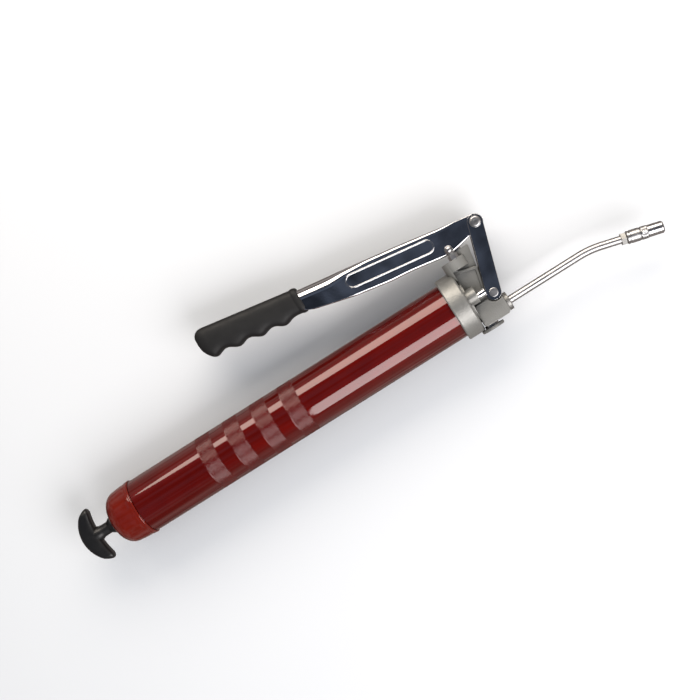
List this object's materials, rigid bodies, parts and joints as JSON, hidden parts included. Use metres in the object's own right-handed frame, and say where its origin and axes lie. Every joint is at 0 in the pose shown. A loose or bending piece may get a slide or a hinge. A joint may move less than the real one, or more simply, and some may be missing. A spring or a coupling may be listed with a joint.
{
  "type": "lever grease gun",
  "caption": "Lever grease gun: tube barrel with rear cap and pull rod, cast pump head with linked lever, bent pipe and gripping coupler.",
  "frame": {"origin": "on the barrel axis, in the rear annular face of the head's collar", "axes": "+X along the barrel axis to the nozzle, +Y towards the lever in the lever's plane, +Z square to that plane; the gun lies on its side"},
  "size_m": [0.6524, 0.1642, 0.066],
  "materials": {
    "casting": "satin die-cast",
    "red_paint": "glossy deep red lacquer",
    "chrome": "bright chrome plate",
    "zinc": "bright zinc plate",
    "steel": "ground steel",
    "grip_rubber": "matt black rubber",
    "black_plastic": "semi-matt black plastic",
    "seal_rubber": "black nitrile rubber",
    "spring_steel": "spring steel",
    "brass": "plain brass"
  },
  "bodies": {
    "gun": {"head_casting": "casting", "barrel_gasket": "seal_rubber", "piston_packing": "seal_rubber", "gland_nut": "zinc", "check_ball": "steel", "check_spring": "spring_steel", "outlet_adapter": "zinc", "extension_pipe": "zinc", "port_washer": "zinc", "port_plug": "casting", "loader_nipple": "zinc", "bleed_spring": "spring_steel", "barrel": "red_paint", "rear_cap": "red_paint", "rod_bushing": "brass", "coupler_locknut": "zinc", "coupler_body": "zinc", "coupler_spring": "spring_steel", "follower_spring": "spring_steel"},
    "links": {"link_plate_near": "chrome", "link_plate_far": "chrome", "link_bottom_pin": "zinc", "link_top_bolt": "zinc", "link_top_nut": "zinc", "link_spacer": "steel"},
    "lever_arm": {"lever": "chrome", "piston_pin": "steel", "grip": "grip_rubber"},
    "piston": {"pump_piston": "steel"},
    "bleed_button": {"bleed_stem": "chrome"},
    "follower": {"follower_cup": "seal_rubber", "follower_plate": "zinc"},
    "rod": {"follower_rod": "steel", "follower_nut": "zinc", "rod_collar": "zinc", "t_handle": "black_plastic"},
    "coupler_ring": {"coupler_sleeve": "chrome"},
    "collet": {"coupler_jaws": "steel", "coupler_seal": "seal_rubber"}
  },
  "joints": [
    {"name": "link_swing", "type": "hinge", "parent": "gun", "child": "links", "pos_m": [0.0433, -0.0056, 0], "axis": [0, 0, 1], "range_deg": [0, 3.65]},
    {"name": "lever_pivot", "type": "hinge", "parent": "links", "child": "lever_arm", "pos_m": [0.0642, 0.0615, 0], "axis": [0, 0, -1], "range_deg": [0, 50]},
    {"name": "piston_slide", "type": "slide", "parent": "gun", "child": "piston", "axis": [0, 1, 0], "range_m": [0, 0.02366]},
    {"name": "bleed_press", "type": "slide", "parent": "gun", "child": "bleed_button", "axis": [-1, 0, 0], "range_m": [0, 0.0014], "stiffness_N_per_m": 800, "springref_m": -0.0005, "deforming": ["bleed_spring"]},
    {"name": "follower_pull", "type": "slide", "parent": "gun", "child": "follower", "axis": [-1, 0, 0], "range_m": [0, 0.25], "stiffness_N_per_m": 200, "springref_m": -0.15, "deforming": ["follower_spring"]},
    {"name": "handle_turn", "type": "hinge", "parent": "follower", "child": "rod", "pos_m": [0, 0, 0], "axis": [1, 0, 0], "continuous": true},
    {"name": "coupler_ring_turn", "type": "hinge", "parent": "gun", "child": "coupler_ring", "pos_m": [0.19792, -0.03491, 0], "axis": [0.9668, -0.2554, 0], "range_deg": [0, 360]},
    {"name": "collet_push", "type": "slide", "parent": "gun", "child": "collet", "axis": [-0.9668, 0.2554, 0], "range_m": [0, 0.0016], "stiffness_N_per_m": 3000, "springref_m": -0.001, "deforming": ["coupler_spring"]}
  ],
  "couplings": [
    {"joint": "link_swing", "follows": "lever_pivot", "ratio": 0.072},
    {"joint": "piston_slide", "follows": "lever_pivot", "m_per_rad": 0.027}
  ]
}
